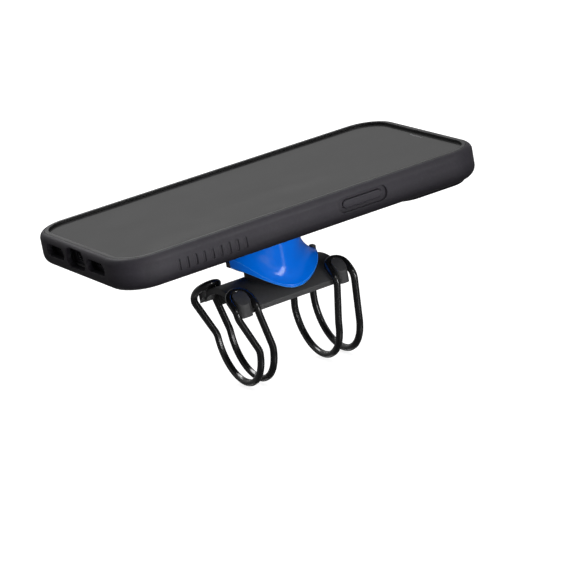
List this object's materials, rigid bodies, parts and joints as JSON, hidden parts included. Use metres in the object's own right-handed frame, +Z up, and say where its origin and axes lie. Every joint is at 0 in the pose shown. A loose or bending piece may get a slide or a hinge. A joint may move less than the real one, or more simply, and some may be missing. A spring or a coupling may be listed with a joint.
{
  "type": "phone mount",
  "caption": "Bicycle stem mount holding a phone in a rigid case: curved strap-on base with elastic bands, a sliding release collar and a twist lock under the case.",
  "frame": {"origin": "on the stem's axis, straight below the twist lock's axis", "axes": "+X along the stem towards the handlebar and the phone's top end, +Y across the stem to the volume-button side, +Z up through the lock to the screen"},
  "size_m": [0.153, 0.0776, 0.0723],
  "materials": {
    "base_plastic": "matt, fine moulded grain",
    "pad_rubber": "soft, ribbed",
    "band_rubber": "glossy",
    "insert_brass": "knurled",
    "screw_steel": "black zinc",
    "washer_steel": "plain",
    "head_plastic": "fine moulded grain",
    "collar_blue": "glossy",
    "tip_dark": "satin",
    "spring_steel": "drawn wire",
    "case_charcoal": "satin, soft-touch",
    "bumper_rubber": "satin",
    "liner_cloth": "microfibre",
    "socket_plastic": "glass-filled",
    "phone_metal": "anodised",
    "screen": "flat front glass",
    "back_glass": "gloss",
    "panel": "layered panel",
    "mesh": "fine weave",
    "battery_foil": "wrapped foil",
    "board_green": "solder mask",
    "module_dark": "satin",
    "port_steel": "plated",
    "lens_ring": "polished edge",
    "lens_glass": "coated",
    "flash": "faceted"
  },
  "bodies": {
    "base": {"base_saddle": "base_plastic", "grip_pad": "pad_rubber", "rear_band": "band_rubber", "front_band": "band_rubber", "threaded_insert": "insert_brass", "head_screw": "screw_steel", "screw_washer": "washer_steel", "lock_head": "head_plastic", "collar_spring": "spring_steel"},
    "collar": {"release_collar": "collar_blue", "collar_tip_rear": "tip_dark", "collar_tip_front": "tip_dark"},
    "case": {"case_shell": "case_charcoal", "case_bumper": "bumper_rubber", "case_liner": "liner_cloth", "lock_socket": "socket_plastic", "camera_guard": "case_charcoal", "phone_frame": "phone_metal", "back_glass": "back_glass", "screen_glass": "screen", "earpiece_mesh": "mesh", "display_panel": "panel", "front_camera": "lens_glass", "battery": "battery_foil", "logic_board": "board_green", "camera_module": "module_dark", "haptic_motor": "washer_steel", "speaker_box": "module_dark", "charge_port": "port_steel", "speaker_mesh": "mesh", "mic_mesh": "mesh", "camera_plate": "back_glass", "flash_lens": "flash", "main_lens_ring": "lens_ring", "main_lens": "lens_glass", "wide_lens_ring": "lens_ring", "wide_lens": "lens_glass"},
    "case_power": {"case_power_button": "case_charcoal"},
    "phone_power": {"phone_power_button": "phone_metal"},
    "case_volume_up": {"case_volume_up_button": "case_charcoal"},
    "phone_volume_up": {"phone_volume_up_button": "phone_metal"},
    "case_volume_down": {"case_volume_down_button": "case_charcoal"},
    "phone_volume_down": {"phone_volume_down_button": "phone_metal"},
    "mute": {"mute_switch": "phone_metal"}
  },
  "joints": [
    {"name": "case_twist", "type": "hinge", "parent": "base", "child": "case", "pos_m": [0, 0, 0.0424], "axis": [0, 0, 1], "range_deg": [0, 45]},
    {"name": "collar_press", "type": "slide", "parent": "base", "child": "collar", "axis": [0, 0, -1], "range_m": [0, 0.002], "deforming": ["collar_spring"]},
    {"name": "case_power_press", "type": "slide", "parent": "case", "child": "case_power", "axis": [0, 1, 0], "range_m": [0, 0.00025]},
    {"name": "phone_power_press", "type": "slide", "parent": "case", "child": "phone_power", "axis": [0, 1, 0], "range_m": [0, 0.00025]},
    {"name": "case_volume_up_press", "type": "slide", "parent": "case", "child": "case_volume_up", "axis": [0, -1, 0], "range_m": [0, 0.00025]},
    {"name": "phone_volume_up_press", "type": "slide", "parent": "case", "child": "phone_volume_up", "axis": [0, -1, 0], "range_m": [0, 0.00025]},
    {"name": "case_volume_down_press", "type": "slide", "parent": "case", "child": "case_volume_down", "axis": [0, -1, 0], "range_m": [0, 0.00025]},
    {"name": "phone_volume_down_press", "type": "slide", "parent": "case", "child": "phone_volume_down", "axis": [0, -1, 0], "range_m": [0, 0.00025]},
    {"name": "mute_slide", "type": "slide", "parent": "case", "child": "mute", "axis": [1, 0, 0], "range_m": [0, 0.0016]}
  ],
  "couplings": [
    {"joint": "collar_press", "follows": "case_twist", "m_per_rad": 0.00254},
    {"joint": "phone_power_press", "follows": "case_power_press", "ratio": 1},
    {"joint": "phone_volume_up_press", "follows": "case_volume_up_press", "ratio": 1},
    {"joint": "phone_volume_down_press", "follows": "case_volume_down_press", "ratio": 1}
  ]
}
